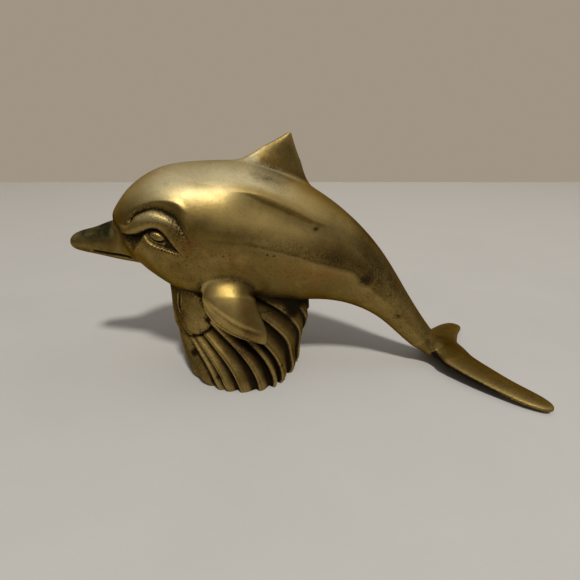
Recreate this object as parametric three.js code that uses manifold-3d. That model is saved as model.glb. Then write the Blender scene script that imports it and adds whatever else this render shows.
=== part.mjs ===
// Cast brass dolphin riding over a ribbed wave base.
// Millimetres, +Z up. The head points to -X and the dolphin's left side faces -Y.
// The origin lies on the table under the middle of the model's box.

import * as THREE from 'three';
import { mergeVertices } from 'three/addons/utils/BufferGeometryUtils.js';
import Module from 'manifold-3d';

const wasm = await Module();
wasm.setup();

// Gap between pieces that fit together, and the wall of the hollow body
const clearance = 0.3;
const shellWall = 4;

// Body, from the front of the forehead to the end of the tail stock;
// the belly stands so high over the table that the tail reaches down to it
const bodyLength = 144;
const bodyDepth = 59;
const bodyWidth = 48;
const bellyHeight = 0.522 * bodyDepth;

// Beak ahead of the forehead
const beakLength = 19.8;
const beakDepth = 16;
const beakWidth = 16.5;
const beakDrop = 17.7;
const mouthHeight = 0.9;
const mouthDepth = 1.4;

// Brow, eye and flank carving
const browRollHeight = 1.5;
const browRollWidth = 2.6;
const browGrooveDepth = 1.1;
const browGrooveWidth = 1.2;
const eyeLength = 8;
const eyeHeight = 4;
const eyeBulge = 0.9;
const flankHollowDepth = 0.9;
const flankHollowWidth = 7;

// Dorsal fin
const dorsalLength = 48;
const dorsalHeight = 22;
const dorsalWidth = 16;

// Pectoral fins
const pectoralLength = 28;
const pectoralChord = 25;
const pectoralThickness = 12;

// Tail fluke and the tenon that enters the tail stock
const flukeSpan = 86;
const flukeSweep = 17.5;
const flukeThickness = 6.2;
const flukeSkew = 3.5;
const flukeRoll = 0.3;
const tenonLength = 8;
const tenonDiameter = 4.6;

// Wave base
const baseAxisPlace = 52.5;
const footLength = 50;
const footWidth = 57;
const footRounding = 1.4;
const footSetback = 1;
const saddleLength = 60.5;
const saddleWidth = 37;
const ribCount = 20;
const ribDepth = 2.3;
const ribLean = 41;
const ribCurve = 1.1;
const rearInset = 1.9;
const lobeBulge = 5.4;
const footWall = 3.4;
const webThickness = 5;

// Fastening between belly and base
const screwDiameter = 6;
const screwLength = 19;
const screwHeadDiameter = 10;
const screwHeadHeight = 3.8;
const slotWidth = 1.2;
const slotDepth = 1.6;
const washerDiameter = 14;
const washerThickness = 1.2;
const bossDiameter = 13;
const bossLength = 17;

// Colour and finish of the metals
const agedBrass = { color: 0x8f7433, roughness: 0.38, metalness: 1 };
const darkBrass = { color: 0x75602c, roughness: 0.48, metalness: 1 };
const yellowBrass = { color: 0xa88a3e, roughness: 0.35, metalness: 1 };
const zincSteel = { color: 0x9c9c98, roughness: 0.4, metalness: 1 };

const degrees = Math.PI / 180;
const point = (x, y, z) => new THREE.Vector3(x, y, z);
const acrossBody = point(0, 1, 0);

// Natural cubic spline through values that stand at 0, 1, 2 and so on
function spline(values) {
  const last = values.length - 1;
  const bend = new Array(last + 1).fill(0);
  const carry = new Array(last + 1).fill(0);
  for (let i = 1; i < last; i += 1) {
    const pivot = 4 - carry[i - 1];
    const load = 6 * (values[i - 1] - 2 * values[i] + values[i + 1]);
    carry[i] = 1 / pivot;
    bend[i] = (load - bend[i - 1]) / pivot;
  }
  for (let i = last - 1; i > 0; i -= 1) bend[i] -= carry[i] * bend[i + 1];
  return (place) => {
    const i = Math.max(0, Math.min(Math.floor(place), last - 1));
    const u = place - i;
    const v = 1 - u;
    const straight = values[i] * v + values[i + 1] * u;
    return straight + ((v ** 3 - v) * bend[i] + (u ** 3 - u) * bend[i + 1]) / 6;
  };
}

// Smooth path through points in space
function path(points) {
  const [x, y, z] = ['x', 'y', 'z'].map((axis) => spline(points.map((p) => p[axis])));
  return (place) => point(x(place), y(place), z(place));
}

// Places along a row of stations, with so many steps in each span
function placesAlong(stepsPerSpan, start = 0) {
  const places = [];
  stepsPerSpan.forEach((steps, span) => {
    for (let i = 0; i < steps; i += 1) places.push(span + i / steps);
  });
  places.push(stepsPerSpan.length);
  places[0] = start;
  return places;
}

// Closed skin over rings of equal count, each end closed by a fan round its middle, facing outwards
function loft(rings) {
  const around = rings[0].length;
  const points = rings.flat();
  const index = [];
  const next = (i) => (i + 1) % around;
  for (let r = 0; r + 1 < rings.length; r += 1) {
    const a = r * around;
    const b = a + around;
    for (let i = 0; i < around; i += 1) {
      index.push(a + i, a + next(i), b + i, a + next(i), b + next(i), b + i);
    }
  }
  [rings[0], rings.at(-1)].forEach((ring, end) => {
    const middle = ring.reduce((sum, p) => sum.add(p), point(0, 0, 0)).divideScalar(around);
    const hub = points.push(middle) - 1;
    const a = end * (rings.length - 1) * around;
    for (let i = 0; i < around; i += 1) {
      if (end) index.push(hub, a + i, a + next(i));
      else index.push(hub, a + next(i), a + i);
    }
  });
  let volume = 0;
  for (let i = 0; i < index.length; i += 3) {
    const [a, b, c] = [points[index[i]], points[index[i + 1]], points[index[i + 2]]];
    volume += a.dot(b.clone().cross(c)) / 6;
  }
  if (volume < 0) index.reverse();
  const geometry = new THREE.BufferGeometry().setFromPoints(points);
  geometry.setIndex(index);
  return geometry;
}

// Loft between two rails: each ring is a superellipse through both, thickened towards its sides;
// crowding draws the points of a ring together on its two sides
function railLoft({ first, second, half, side, places, facets, power = 2.15, inset = 0, crowding = 0 }) {
  const bulge = (value) => Math.sign(value) * Math.abs(value) ** (2 / power);
  return loft(places.map((place) => {
    const a = first(place);
    const b = second(place);
    const middle = a.clone().add(b).multiplyScalar(0.5);
    const reach = a.clone().sub(middle);
    reach.setLength(reach.length() - inset);
    const thick = half(place) - inset;
    return Array.from({ length: facets }, (_, i) => {
      const even = 2 * Math.PI * i / facets;
      const angle = even + crowding * Math.sin(2 * even);
      return middle.clone()
        .addScaledVector(reach, bulge(Math.cos(angle)))
        .addScaledVector(side, thick * bulge(Math.sin(angle)));
    });
  }));
}

// The same skin moved outwards along its own normals, by an amount or by a function of place and normal
function grown(geometry, amount) {
  const moved = geometry.clone();
  moved.computeVertexNormals();
  const { position, normal } = moved.attributes;
  const at = point(0, 0, 0);
  const out = point(0, 0, 0);
  for (let i = 0; i < position.count; i += 1) {
    at.fromBufferAttribute(position, i);
    out.fromBufferAttribute(normal, i);
    at.addScaledVector(out, typeof amount === 'function' ? amount(at, out) : amount);
    position.setXYZ(i, at.x, at.y, at.z);
  }
  return moved;
}

// Solid for joining and cutting, made from a closed geometry
function solid(geometry) {
  const bare = geometry.clone();
  bare.deleteAttribute('normal');
  bare.deleteAttribute('uv');
  const merged = mergeVertices(bare, 1e-4);
  const corners = [];
  const index = merged.index.array;
  for (let i = 0; i < index.length; i += 3) {
    const [a, b, c] = [index[i], index[i + 1], index[i + 2]];
    if (a !== b && b !== c && c !== a) corners.push(a, b, c);
  }
  const make = (triVerts) => new wasm.Manifold(new wasm.Mesh({
    numProp: 3, vertProperties: new Float32Array(merged.attributes.position.array), triVerts,
  }));
  const made = make(new Uint32Array(corners));
  return made.volume() > 0 ? made : make(new Uint32Array(corners.reverse()));
}

// Geometry of a finished solid
function geometryOf(shape) {
  const mesh = shape.getMesh();
  const geometry = new THREE.BufferGeometry();
  geometry.setAttribute('position', new THREE.BufferAttribute(mesh.vertProperties, 3));
  geometry.setIndex(new THREE.BufferAttribute(mesh.triVerts, 1));
  geometry.computeVertexNormals();
  return geometry;
}

// Upright cylinder over the base axis, between two heights
function pillar(diameter, low, high, facets = 32) {
  const geometry = new THREE.CylinderGeometry(diameter / 2, diameter / 2, high - low, facets);
  return solid(geometry.rotateX(Math.PI / 2).translate(0, 0, (low + high) / 2));
}

// Half space on one side of the mid-plane, -1 for the dolphin's left
function halfSpace(sideSign) {
  const size = 4 * bodyLength;
  return solid(new THREE.BoxGeometry(size, size, size).translate(0, sideSign * size / 2, 0));
}

// Body stations: back x and z, belly x and z, half width, in percent of the body's sizes
const bodyStations = [
  [0, 62.5, 0, 62.5, 0],
  [0.7, 67.5, 0.8, 56, 23],
  [3.1, 75.5, 2.9, 44.5, 44],
  [7.2, 85.5, 6.4, 32.2, 66],
  [15.3, 96, 12.6, 19, 86],
  [26, 99.5, 23, 4.5, 98],
  [37, 99.5, 34, 0, 100],
  [48, 92.5, 45, 0, 95],
  [59, 79, 55.5, 2, 81],
  [69.5, 59, 66, -0.5, 61],
  [78.5, 34.2, 75.5, -10, 42],
  [86.3, 5, 82.4, -23, 30],
  [94, -22, 89.5, -38.3, 25],
  [100, -38, 96.3, -49.5, 26],
];
const tailPlace = 12.4;
const bodyX = (percent) => bodyLength * percent / 100 - baseAxisPlace;
const bodyZ = (percent) => bellyHeight + bodyDepth * percent / 100;
const bodyRails = {
  first: path(bodyStations.map(([x, z]) => point(bodyX(x), 0, bodyZ(z)))),
  second: path(bodyStations.map(([, , x, z]) => point(bodyX(x), 0, bodyZ(z)))),
  half: spline(bodyStations.map((station) => bodyWidth / 2 * station[4] / 100)),
  side: acrossBody,
};
const bodyFacets = 56;
const flankCrowding = 0.22;
const bodySteps = [2, 3, 5, 9, 8, 3, 3, 2, 2, 2, 2, 2, 2];

// Carving lines seen from the side, from the middle of the eye, in percent of the body's sizes
const eyeMiddle = point(bodyX(14.9), 0, bodyZ(53.9));
const carvedLine = (pairs) => {
  const line = path(pairs.map(([x, z]) => point(bodyLength * x / 100, 0, bodyDepth * z / 100)));
  return placesAlong(pairs.slice(1).map(() => 3)).map(line);
};
const browGroove = carvedLine([
  [-6.6, 7.6], [-4.9, 13.9], [-0.3, 18.5], [5.4, 14.2], [8.2, 5.1], [9.9, -2.9],
]);
const browRoll = carvedLine([
  [-9.7, 4.9], [-5.4, 7.5], [-2.4, 11.9], [0.4, 13.6], [3.5, 11.9], [6.5, 2.9], [9, -7.5],
]);
const lidEdge = carvedLine([
  [-11.1, 1], [-7.5, -1], [-4.2, 2], [0.2, 5.1], [2.8, 1.7], [7.4, -11.5],
]);
const lowerLid = carvedLine([
  [-2.6, -1.7], [-1.4, -4.9], [1.7, -7.1], [5.6, -9.7],
]);
const flankHollow = carvedLine([
  [21.5, 25.4], [31.3, 18.6], [41.7, 5.1], [50, -10.2], [58.3, -37.3], [65.3, -64.4],
]);

// How far a line reaches a place in the side view: 1 on the line, falling off over its width
function nearLine(line, x, z, width) {
  let nearest = Infinity;
  for (let i = 0; i + 1 < line.length; i += 1) {
    const [a, b] = [line[i], line[i + 1]];
    const run = b.clone().sub(a);
    const share = ((x - a.x) * run.x + (z - a.z) * run.z) / (run.x ** 2 + run.z ** 2);
    const at = a.clone().addScaledVector(run, Math.max(0, Math.min(1, share)));
    nearest = Math.min(nearest, Math.hypot(x - at.x, z - at.z));
  }
  return Math.exp(-((nearest / width) ** 2));
}

// Height of the carving over the plain body skin
function carving(at, out) {
  const x = at.x - eyeMiddle.x;
  const z = at.z - eyeMiddle.z;
  const onFlank = THREE.MathUtils.smoothstep(Math.abs(out.y), 0.25, 0.6);
  const eye = Math.max(0, 1 - (2 * x / eyeLength) ** 2 - (2 * z / eyeHeight) ** 2);
  return onFlank * (browRollHeight * nearLine(browRoll, x, z, browRollWidth)
    - browGrooveDepth * nearLine(browGroove, x, z, browGrooveWidth)
    - browGrooveDepth * nearLine(lidEdge, x, z, browGrooveWidth)
    + 0.6 * browGrooveDepth * nearLine(lowerLid, x, z, 0.8 * browGrooveWidth)
    + eyeBulge * Math.sqrt(eye)
    - flankHollowDepth * nearLine(flankHollow, x, z, flankHollowWidth));
}

// Beak stations: upper x and z, lower x and z, half width, in percent of the beak's sizes
const beakStations = [
  [-60, 108, -60, -18, 118],
  [0, 100, 0, -3, 100],
  [40, 83, 40, 8, 76],
  [75, 71, 77, 18, 58],
  [94, 58, 94, 28, 38],
  [100, 43, 100, 41, 4],
];
const beakX = (percent) => bodyX(0) - beakLength * percent / 100;
const beakZ = (percent) => bodyRails.first(0).z - beakDrop + beakDepth * percent / 100;
const beakRails = {
  first: path(beakStations.map(([x, z]) => point(beakX(x), 0, beakZ(z)))),
  second: path(beakStations.map(([, , x, z]) => point(beakX(x), 0, beakZ(z)))),
  half: spline(beakStations.map((station) => beakWidth / 2 * station[4] / 100)),
  side: acrossBody,
};
const mouthLine = [[-45, 3], [-20, 6], [10, 11], [44, 17]];

// Beak with the slit of the mouth along both sides
function beak(growth) {
  const skin = railLoft({ ...beakRails, places: placesAlong([3, 4, 3, 3, 3]), facets: 24 });
  if (growth) return solid(grown(skin, growth));
  const line = path(mouthLine.map(([x, z]) => point(beakX(x), 0, beakZ(z))));
  const slit = railLoft({
    first: (place) => line(place).add(point(0, 0, mouthHeight / 2)),
    second: (place) => line(place).sub(point(0, 0, mouthHeight / 2)),
    half: () => beakWidth,
    side: acrossBody,
    places: placesAlong([2, 2, 2]),
    facets: 4,
  });
  return solid(skin).subtract(solid(slit).subtract(solid(grown(skin, -mouthDepth))));
}

// Dorsal fin stations from the root up: leading x and z, trailing x and z, half thickness, in percent
const dorsalStations = [
  [-6, 2, 104, -24, 108],
  [15, 37.5, 93, 14, 74],
  [34, 56.5, 87.5, 41, 48],
  [51, 73, 83, 65, 30],
  [66, 90, 79.5, 87, 20],
  [75.5, 101.5, 77.5, 101.5, 9],
];
const dorsalX = (percent) => bodyX(58.3) - dorsalLength * (100 - percent) / 100;
const dorsalZ = (percent) => bodyZ(80) + dorsalHeight * percent / 100;
const dorsalRails = {
  first: path(dorsalStations.map(([x, z]) => point(dorsalX(x), 0, dorsalZ(z)))),
  second: path(dorsalStations.map(([, , x, z]) => point(dorsalX(x), 0, dorsalZ(z)))),
  half: spline(dorsalStations.map((station) => dorsalWidth / 2 * station[4] / 100)),
  side: acrossBody,
};

// Body skin with beak, dorsal fin and tail stock; grown, it is the seat for the pieces against it
function bodySkin(growth = 0) {
  const trunk = railLoft({
    ...bodyRails, places: placesAlong(bodySteps, 0.15), facets: bodyFacets, crowding: flankCrowding,
  });
  const carved = grown(trunk, growth ? growth : carving);
  const dorsal = railLoft({ ...dorsalRails, places: placesAlong([2, 2, 2, 2, 2]), facets: 24 });
  return solid(carved).add(beak(growth)).add(solid(grown(dorsal, growth)));
}

// Hollow that the two halves share
function bodyCore() {
  const places = placesAlong(bodyStations.slice(1).map(() => 2)).filter((place) => place > 3.2 && place < 10);
  return solid(railLoft({ ...bodyRails, places, facets: 20, inset: shellWall }));
}

// Joint face across the tail stock: its middle, its direction and a large block behind it
const tailMiddle = bodyRails.first(tailPlace).add(bodyRails.second(tailPlace)).multiplyScalar(0.5);
const tailRise = bodyRails.first(tailPlace).sub(bodyRails.second(tailPlace)).normalize();
const tailAhead = point(tailRise.z, 0, -tailRise.x);
function behindTail(gap) {
  const size = 2 * bodyLength;
  const block = new THREE.BoxGeometry(size, size, size).translate(size / 2, 0, 0);
  const turn = new THREE.Matrix4().makeBasis(tailAhead, acrossBody, tailRise);
  const start = tailMiddle.clone().addScaledVector(tailAhead, gap);
  return solid(block.applyMatrix4(turn).translate(start.x, 0, start.z));
}

// Round tenon along the tail stock, standing ahead of the joint face
function tenon(growth) {
  const radius = tenonDiameter / 2 + growth;
  const length = tenonLength + growth + clearance;
  const geometry = new THREE.CylinderGeometry(radius, radius, length + 1, 20).rotateZ(Math.PI / 2);
  const turn = new THREE.Matrix4().makeBasis(tailAhead, acrossBody, tailRise);
  const start = tailMiddle.clone().addScaledVector(tailAhead, clearance - (length - 1) / 2);
  return solid(geometry.applyMatrix4(turn).translate(start.x, 0, start.z));
}

// Lobe stations from the middle out: leading x, y, z, trailing x, y, z, half thickness.
// x is in percent of the sweep behind the leading edge's start, y in percent of half the span,
// z in percent of the belly's height over the table
const lobeStations = [
  [0, 0, 24.4, 103, 0, 18.2, 100],
  [3, 18, 21.1, 105, 18, 17.2, 92],
  [26, 38, 17.5, 125, 38, 14.3, 78],
  [62, 60, 13.3, 153, 60, 10.4, 64],
  [102, 79, 9.4, 182, 79, 7.5, 54],
  [134, 92, 6.8, 191, 92, 5.8, 40],
  [163, 99.5, 5.5, 180, 99.5, 5.2, 22],
];
const flukeStart = bodyX(93.8);
function lobePoint(x, y, z, sideSign) {
  const out = sideSign * y / 100;
  const height = bellyHeight * z / 100 - flukeRoll * out;
  return point(flukeStart + flukeSweep * x / 100 - flukeSkew * out, flukeSpan / 2 * out, height);
}

// Blade with both lobes, from the left tip to the right one
function flukeBlade() {
  const ordered = [
    ...lobeStations.slice(1).reverse().map((station) => [station, -1]),
    ...lobeStations.map((station) => [station, 1]),
  ];
  return solid(railLoft({
    first: path(ordered.map(([[x, y, z], sideSign]) => lobePoint(x, y, z, sideSign))),
    second: path(ordered.map(([[, , , x, y, z], sideSign]) => lobePoint(x, y, z, sideSign))),
    half: spline(ordered.map(([station]) => flukeThickness / 2 * station[6] / 100)),
    side: point(0, 0, 1),
    places: placesAlong(ordered.slice(1).map(() => 2)),
    facets: 18,
  }));
}

// Tail fluke: the end of the tail stock grows into the blade, with the tenon ahead of it
function tailFluke(trunk) {
  return trunk.add(flukeBlade()).intersect(behindTail(clearance)).add(tenon(0));
}

// Pectoral fin stations from the root to the tip: front x, z, y, rear x, z, y, half thickness.
// x is in percent of the chord, z in percent of the length below the root's top,
// y in percent of half the body's width
const pectoralStations = [
  [-57, 0, 62, 16, 0, 67, 100],
  [-56, 28, 83, 25, 20, 88, 92],
  [-45, 52, 100, 33, 41, 100, 76],
  [-23, 70, 108, 41, 59, 108, 60],
  [7, 83, 112, 47, 76, 112, 44],
  [42, 91, 115, 46, 90, 115, 12],
];
const pectoralMiddle = bodyX(36.2);
const pectoralTop = bodyZ(28);
function pectoralBlade(sideSign) {
  const place = (x, z, y) => point(
    pectoralMiddle + pectoralChord * x / 100,
    sideSign * bodyWidth / 2 * y / 100,
    pectoralTop - pectoralLength * z / 100,
  );
  return railLoft({
    first: path(pectoralStations.map(([x, z, y]) => place(x, z, y))),
    second: path(pectoralStations.map(([, , , x, z, y]) => place(x, z, y))),
    half: spline(pectoralStations.map((station) => pectoralThickness / 2 * station[6] / 100)),
    side: acrossBody,
    places: placesAlong([2, 2, 2, 2, 3]),
    facets: 20,
  });
}

// Outline of the base at a height, by the angle from its front, moved outwards by depth
const saddleHeight = 1.387 * bellyHeight;
function basePoint(fromFront, z, depth, sideSign = 1) {
  const rise = THREE.MathUtils.clamp(z / bellyHeight, 0, 1);
  const rounding = footRounding * Math.max(0, 1 - z / (3 * footRounding)) ** 2;
  const long = (footLength + (saddleLength - footLength) * (1 - (1 - rise) ** 1.8)) / 2;
  const wide = (footWidth + (saddleWidth - footWidth) * rise ** 1.5) / 2;
  const angle = fromFront * degrees;
  const x = footSetback * (1 - rise) ** 3 - (long + depth - rounding) * Math.cos(angle);
  return point(x, -sideSign * (wide + depth - rounding) * Math.sin(angle), z);
}

// Shingled rib between two crests: a long fall from the crest, then a steep rise to the next
function ribProfile(phase) {
  const share = phase - Math.floor(phase);
  const valley = 0.78;
  if (share < valley) return 0.5 * (1 + Math.cos(Math.PI * share / valley));
  return 0.5 * (1 - Math.cos(Math.PI * (share - valley) / (1 - valley)));
}

// Share of the full rib depth: the ribs die out towards the upper rear of the base
function ribStrength(fromFront, z) {
  const rear = THREE.MathUtils.smoothstep(fromFront, 112, 150);
  return 1 - 0.7 * rear * THREE.MathUtils.smoothstep(z / bellyHeight, 0.1, 0.5);
}

// Skin of the base: columns follow the ribs, which lean to the front as they climb
function baseSkin(ribbed, growth = 0) {
  const pitch = 360 / ribCount;
  const crestAtSide = 90 / pitch;
  const lean = (z) => ribLean * (z / bellyHeight) ** ribCurve;
  const shares = ribbed ? [0, 0.3, 0.58, 0.8] : [0];
  const rows = ribbed ? 9 : 8;
  const rings = [];
  for (let row = 0; row <= rows; row += 1) {
    const z = saddleHeight * (row / rows) ** 1.1 - (row ? 0 : growth);
    const half = [];
    const firstRib = Math.floor(-crestAtSide);
    const lastRib = Math.ceil((90 + lean(saddleHeight)) / pitch);
    for (let rib = firstRib; rib <= lastRib; rib += 1) {
      for (const share of shares) {
        const wanted = (rib + share) * pitch + 90 - lean(Math.max(0, z));
        const fromFront = Math.max(0, Math.min(180, wanted));
        const phase = (fromFront - 90 + lean(Math.max(0, z))) / pitch;
        const strength = ribStrength(fromFront, z);
        const valley = ribbed ? ribDepth * (1 - ribProfile(phase)) * strength : 0;
        half.push([fromFront, growth - valley - rearInset * (1 - strength)]);
      }
    }
    const leftSide = half.map(([fromFront, depth]) => basePoint(fromFront, z, depth, 1));
    const rightSide = half.map(([fromFront, depth]) => basePoint(fromFront, z, depth, -1)).reverse();
    rings.push([...leftSide, ...rightSide]);
  }
  return solid(loft(rings));
}

// Smooth wave lobe that swells from the front of the base under the throat; rows from the top down:
// height in percent of the belly's height, and the angles of both edges
const lobeRows = [[136, 2, 50], [117, 1, 60], [97, 1, 66], [84, 3, 61], [76.5, 10, 54], [72.5, 22, 42]];
function waveLobe(sideSign, growth = 0) {
  const rowPoint = ([z], fromFront) => basePoint(fromFront, bellyHeight * z / 100, -lobeBulge / 9, -sideSign);
  const middle = basePoint(32, 0, 0, -sideSign).normalize();
  return solid(grown(railLoft({
    first: path(lobeRows.map((row) => rowPoint(row, row[1]))),
    second: path(lobeRows.map((row) => rowPoint(row, row[2]))),
    half: spline([0.9, 0.95, 1, 1, 0.85, 0.4].map((share) => lobeBulge * share)),
    side: middle,
    places: placesAlong([2, 2, 2, 2, 2]),
    facets: 20,
  }), growth));
}

// Outside of the base with both lobes
function baseOutside(ribbed, growth = 0) {
  return baseSkin(ribbed, growth).add(waveLobe(-1, growth)).add(waveLobe(1, growth));
}

// Hollow under the base, from the foot up to the web that the screw pulls on
const webTop = bellyHeight - clearance;
const webUnderside = webTop - webThickness;
function baseHollow() {
  const foot = footLength / 2 - footRounding - footWall;
  const top = saddleWidth / 2 - ribDepth - footWall;
  const chamfer = 0.3 * webThickness;
  const profile = [
    new THREE.Vector2(0, -1),
    new THREE.Vector2(foot, -1),
    new THREE.Vector2(foot, 0.04 * webUnderside),
    ...new THREE.SplineCurve([
      new THREE.Vector2(0.98 * foot, 0.2 * webUnderside),
      new THREE.Vector2(0.55 * foot + 0.5 * top, 0.65 * webUnderside),
      new THREE.Vector2(top, webUnderside - chamfer),
    ]).getPoints(4),
    new THREE.Vector2(top - chamfer, webUnderside),
    new THREE.Vector2(0, webUnderside),
  ];
  return solid(new THREE.LatheGeometry(profile, 32).rotateX(Math.PI / 2));
}

// Pieces
const grownBody = bodySkin(clearance);
const wholeTrunk = bodySkin();
const bossBottom = bellyHeight;
const bossTop = bossBottom + bossLength;
const washerBottom = webUnderside - washerThickness;
const headBottom = washerBottom - screwHeadHeight;
const screwTop = washerBottom + screwLength;
const screwHole = screwDiameter + 2 * clearance;

const body = wholeTrunk
  .subtract(bodyCore())
  .subtract(behindTail(0))
  .subtract(tenon(clearance))
  .subtract(pillar(bossDiameter + 2 * clearance, 0, bossTop + clearance));
const waveBase = baseOutside(true)
  .subtract(grownBody)
  .subtract(baseHollow())
  .subtract(pillar(bossDiameter + 2 * clearance, webTop, bossTop))
  .subtract(pillar(screwHole, 0, bellyHeight + 1));
const finSeat = grownBody.add(baseOutside(false, clearance));
const pectoralFin = (sideSign) => solid(pectoralBlade(sideSign)).subtract(finSeat);
const boss = pillar(bossDiameter, bossBottom, bossTop).subtract(pillar(screwHole, 0, screwTop + clearance));
const slot = solid(new THREE.BoxGeometry(2 * screwHeadDiameter, slotWidth, 2 * slotDepth)
  .translate(0, 0, headBottom));
const screw = pillar(screwHeadDiameter, headBottom, washerBottom)
  .add(pillar(screwDiameter, headBottom + slotDepth, screwTop))
  .subtract(slot);
const washer = pillar(washerDiameter, washerBottom, webUnderside).subtract(pillar(screwHole, 0, bellyHeight));

const group = new THREE.Group();
function addPiece(name, shape, finish) {
  const mesh = new THREE.Mesh(geometryOf(shape), new THREE.MeshStandardMaterial(finish));
  mesh.name = name;
  group.add(mesh);
}
addPiece('body_left_shell', body.intersect(halfSpace(-1)), agedBrass);
addPiece('body_right_shell', body.intersect(halfSpace(1)), agedBrass);
addPiece('pectoral_fin_left', pectoralFin(-1), agedBrass);
addPiece('pectoral_fin_right', pectoralFin(1), agedBrass);
addPiece('tail_fluke', tailFluke(wholeTrunk), agedBrass);
addPiece('wave_base', waveBase, darkBrass);
addPiece('threaded_boss', boss, yellowBrass);
addPiece('base_screw', screw, zincSteel);
addPiece('screw_washer', washer, zincSteel);

// The middle of the model's box goes over the origin
const box = new THREE.Box3().setFromObject(group);
group.position.x = -(box.min.x + box.max.x) / 2;

export default group;
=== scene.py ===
"""Aged brass dolphin over a ribbed wave base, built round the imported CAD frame."""

import math

import bmesh
import bpy
import numpy as np
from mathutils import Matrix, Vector
from mathutils.bvhtree import BVHTree


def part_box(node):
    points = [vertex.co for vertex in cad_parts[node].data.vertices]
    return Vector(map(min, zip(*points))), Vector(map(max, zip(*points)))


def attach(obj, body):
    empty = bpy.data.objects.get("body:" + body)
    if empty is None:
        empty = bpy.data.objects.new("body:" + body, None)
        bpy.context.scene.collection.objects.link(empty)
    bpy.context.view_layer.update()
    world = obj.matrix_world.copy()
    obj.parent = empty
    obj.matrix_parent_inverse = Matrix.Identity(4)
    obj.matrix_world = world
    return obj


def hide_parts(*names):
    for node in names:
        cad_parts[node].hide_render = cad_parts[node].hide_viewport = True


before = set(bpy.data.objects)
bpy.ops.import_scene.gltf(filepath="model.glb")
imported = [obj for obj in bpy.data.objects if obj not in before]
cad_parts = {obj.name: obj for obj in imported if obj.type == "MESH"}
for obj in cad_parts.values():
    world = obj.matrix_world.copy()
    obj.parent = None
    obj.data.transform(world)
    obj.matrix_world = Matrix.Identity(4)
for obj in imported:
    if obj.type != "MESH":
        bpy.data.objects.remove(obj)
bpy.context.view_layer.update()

MM = 0.001

# Sizes of the model in millimetres, as in the CAD source
CLEARANCE = 0.3
BODY_LENGTH, BODY_DEPTH, BODY_WIDTH = 144, 59, 48
BELLY_HEIGHT = 0.522 * BODY_DEPTH
BEAK_LENGTH, BEAK_DEPTH, BEAK_WIDTH, BEAK_DROP = 19.8, 16, 16.5, 17.7
DORSAL_LENGTH, DORSAL_HEIGHT, DORSAL_WIDTH = 48, 22, 16
PECTORAL_LENGTH, PECTORAL_CHORD, PECTORAL_THICKNESS = 28, 25, 12
FLUKE_SPAN, FLUKE_SWEEP, FLUKE_THICKNESS, FLUKE_SKEW, FLUKE_ROLL = 86, 17.5, 6.2, 3.5, 0.3
BASE_AXIS_PLACE = 52.5
FOOT_LENGTH, FOOT_WIDTH, FOOT_ROUNDING, FOOT_SETBACK = 50, 57, 1.4, 1
SADDLE_LENGTH, SADDLE_WIDTH = 60.5, 37
RIB_DEPTH, RIB_LEAN, RIB_CURVE = 2.3, 52, 1.75
REAR_INSET, REAR_FOOT_INSET = 1.9, 2.3
LOBE_BULGE, FOOT_WALL, WEB_THICKNESS, SCREW_HOLE = 5.4, 3.4, 5, 6.6
SADDLE_HEIGHT = 1.387 * BELLY_HEIGHT

# The base stands round the boss, which gives its axis in the row's frame
boss_low, boss_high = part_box("threaded_boss")
AXIS_X = (boss_low.x + boss_high.x) / 2 / MM


def spline(values):
    """Natural cubic spline through values at 0, 1, 2 and so on."""
    y = np.asarray(values, float)
    n = len(y)
    bend = np.zeros_like(y)
    system = 4 * np.eye(n - 2) + np.eye(n - 2, k=1) + np.eye(n - 2, k=-1)
    bend[1:-1] = np.linalg.solve(system, 6 * (y[:-2] - 2 * y[1:-1] + y[2:]))

    def at(place):
        t = np.asarray(place, float)
        i = np.clip(np.floor(t).astype(int), 0, n - 2)
        u = t - i
        if y.ndim == 2:
            u = u[..., None]
        v = 1 - u
        return y[i] * v + y[i + 1] * u + ((v**3 - v) * bend[i] + (u**3 - u) * bend[i + 1]) / 6

    return at


def ramp(x, low, high):
    """Smooth ramp from nothing at low to one at high, which may also be the lesser of the two."""
    t = np.clip((x - low) / (high - low), 0, 1)
    return t * t * (3 - 2 * t)


def loft(rings):
    """Closed skin over rings of equal count, facing outwards: points and triangles or quads."""
    rings = np.asarray(rings, float)
    count, around, _ = rings.shape
    points = rings.reshape(-1, 3)
    row = np.arange(count - 1)[:, None] * around
    a = row + np.arange(around)
    b = row + (np.arange(around) + 1) % around
    faces = np.stack([a, b, b + around, a + around], -1).reshape(-1, 4).tolist()
    hubs = [rings[0].mean(0), rings[-1].mean(0)]
    first, last, end = len(points), len(points) + 1, (count - 1) * around
    faces += [[first, (i + 1) % around, i] for i in range(around)]
    faces += [[last, end + i, end + (i + 1) % around] for i in range(around)]
    points = np.vstack([points, hubs])
    corners = [points[[f[k] for f in faces]] for k in range(3)]
    if (corners[0] * np.cross(corners[1], corners[2])).sum() < 0:
        faces = [f[::-1] for f in faces]
    return points, faces


# How square the rings of a loft are: 2 is an ellipse
SECTION_POWER = 2.15


def rail_loft(first, second, half, side, places, facets):
    """Rings through two rails, thickened towards side, as closed skin."""
    a, b = first(places), second(places)
    middle, half_chord = (a + b) / 2, (a - b) / 2
    angle = 2 * np.pi * np.arange(facets) / facets
    shape = lambda v: np.sign(v) * np.abs(v) ** (2 / SECTION_POWER)
    along, across = shape(np.cos(angle)), shape(np.sin(angle))
    rings = (
        middle[:, None, :]
        + half_chord[:, None, :] * along[None, :, None]
        + (half(places)[:, None] * across[None, :])[:, :, None] * np.asarray(side, float)
    )
    return loft(rings)


def body_x(percent):
    return AXIS_X + BODY_LENGTH * np.asarray(percent, float) / 100 - BASE_AXIS_PLACE


def body_z(percent):
    return BELLY_HEIGHT + BODY_DEPTH * np.asarray(percent, float) / 100


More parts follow.
